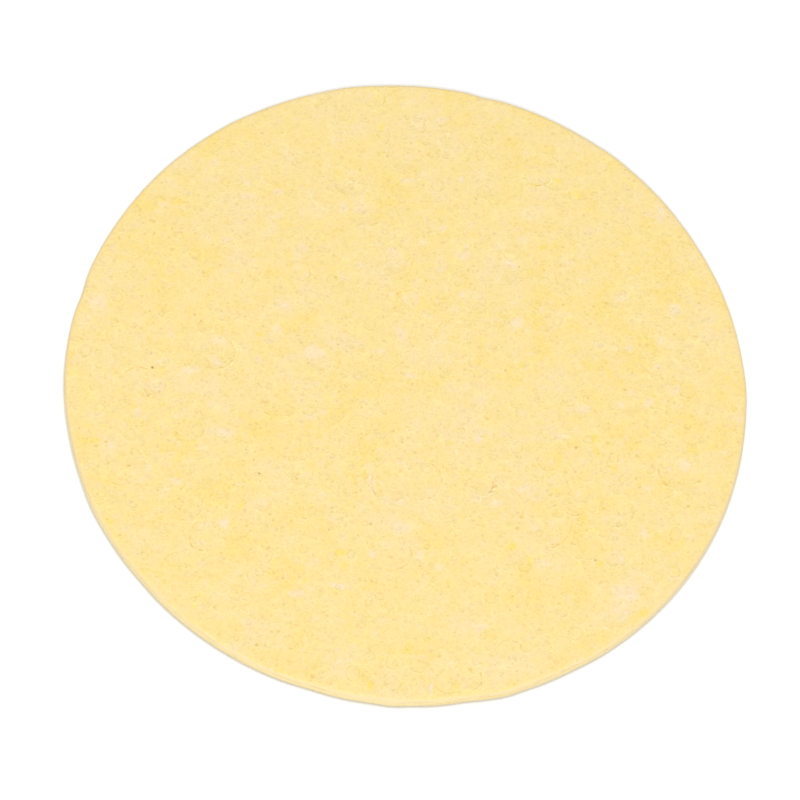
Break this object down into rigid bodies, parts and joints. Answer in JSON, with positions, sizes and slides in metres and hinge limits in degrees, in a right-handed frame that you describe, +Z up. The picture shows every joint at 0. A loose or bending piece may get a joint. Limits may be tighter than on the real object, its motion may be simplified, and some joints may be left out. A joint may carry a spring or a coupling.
{
  "type": "compressed facial sponge",
  "caption": "Thin round disc of dry pressed cellulose sponge with a rounded cut edge and shallow pressed pores; it lies flat and swells when wetted to wash the face.",
  "frame": {"origin": "middle of the flat underside, on the surface that the sponge lies on", "axes": "+Z up out of the top face, through the disc's centre; +X and +Y lie in the underside, with +X to the right and +Y away in the picture's view"},
  "size_m": [0.068, 0.068, 0.0015],
  "materials": {
    "pressed_cellulose": "matt pale yellow pressed cellulose foam, with fine pores, flattened bubbles and paler patches"
  },
  "bodies": {
    "root": {"pressed_sponge": "pressed_cellulose"}
  },
  "joints": []
}
